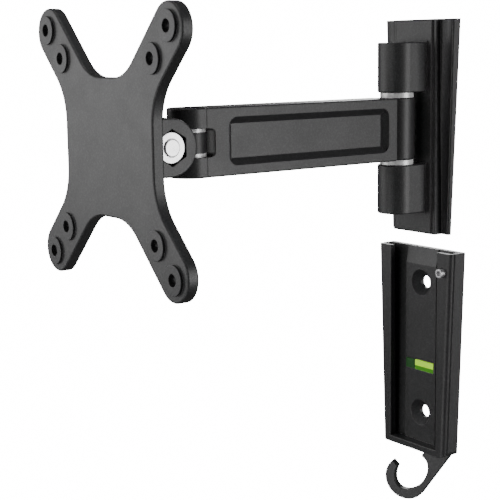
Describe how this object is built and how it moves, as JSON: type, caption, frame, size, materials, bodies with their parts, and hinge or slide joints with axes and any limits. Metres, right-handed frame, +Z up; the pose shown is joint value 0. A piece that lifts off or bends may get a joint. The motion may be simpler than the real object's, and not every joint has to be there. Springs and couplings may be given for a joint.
{
  "type": "full motion monitor wall mount",
  "caption": "Single-arm monitor wall mount: slide-in wedge plate, swivelling arm and head, tilting screen plate, wall bracket with level vial and cable hook.",
  "frame": {"origin": "midway between the two wall screw holes, on the back face of the wall bracket", "axes": "+X right when facing the wall, +Y from the room into the wall, +Z up"},
  "size_m": [0.1194, 0.1915, 0.2575],
  "materials": {
    "powder_coat": "satin black powder coat",
    "bright_steel": "zinc plated, semi-bright",
    "chrome_washer": "polished",
    "holder_green": "dark green moulded plastic",
    "dark_plastic": "matte black",
    "nylon": "natural matte",
    "tinted_acrylic": "yellow-green tinted acrylic",
    "level_green": "bright green liquid"
  },
  "bodies": {
    "wall_bracket": {"wall_bracket": "powder_coat", "cable_hook": "powder_coat", "level_holder": "holder_green", "level_vial": "tinted_acrylic", "level_fluid": "level_green"},
    "lock_screw": {"lock_screw": "bright_steel"},
    "slide_plate": {"slide_plate": "powder_coat", "wall_hinge_bolt": "bright_steel", "wall_hinge_nut": "bright_steel", "wall_hinge_cap_top": "dark_plastic", "wall_hinge_cap_bottom": "dark_plastic", "wall_washer_upper": "chrome_washer", "wall_washer_lower": "chrome_washer"},
    "arm": {"arm_beam": "powder_coat", "wall_bush_upper": "nylon", "wall_bush_lower": "nylon", "head_hinge_bolt": "bright_steel", "head_hinge_nut": "bright_steel", "head_cap_top": "dark_plastic", "head_cap_bottom": "dark_plastic"},
    "swivel_head": {"swivel_block": "powder_coat", "head_bush": "nylon", "head_washer_upper": "chrome_washer", "head_washer_lower": "chrome_washer", "tilt_bush": "nylon"},
    "screen_plate": {"vesa_plate": "powder_coat", "tilt_bolt": "bright_steel", "tilt_nut": "bright_steel", "tilt_washer_left": "nylon", "tilt_washer_right": "nylon"}
  },
  "joints": [
    {"name": "plate_slide_in", "type": "slide", "parent": "wall_bracket", "child": "slide_plate", "axis": [0, 0, 1], "range_m": [-0.1128, 0]},
    {"name": "lock_screw_travel", "type": "slide", "parent": "wall_bracket", "child": "lock_screw", "axis": [0, 1, 0], "range_m": [0, 0.0008]},
    {"name": "wall_swivel", "type": "hinge", "parent": "slide_plate", "child": "arm", "pos_m": [0, -0.0233, 0.1162], "axis": [0, 0, 1], "range_deg": [-90, 90]},
    {"name": "head_swivel", "type": "hinge", "parent": "arm", "child": "swivel_head", "pos_m": [0, -0.1483, 0.1162], "axis": [0, 0, 1], "range_deg": [-90, 90]},
    {"name": "head_tilt", "type": "hinge", "parent": "swivel_head", "child": "screen_plate", "pos_m": [0, -0.1713, 0.1162], "axis": [1, 0, 0], "range_deg": [-15, 15]}
  ]
}
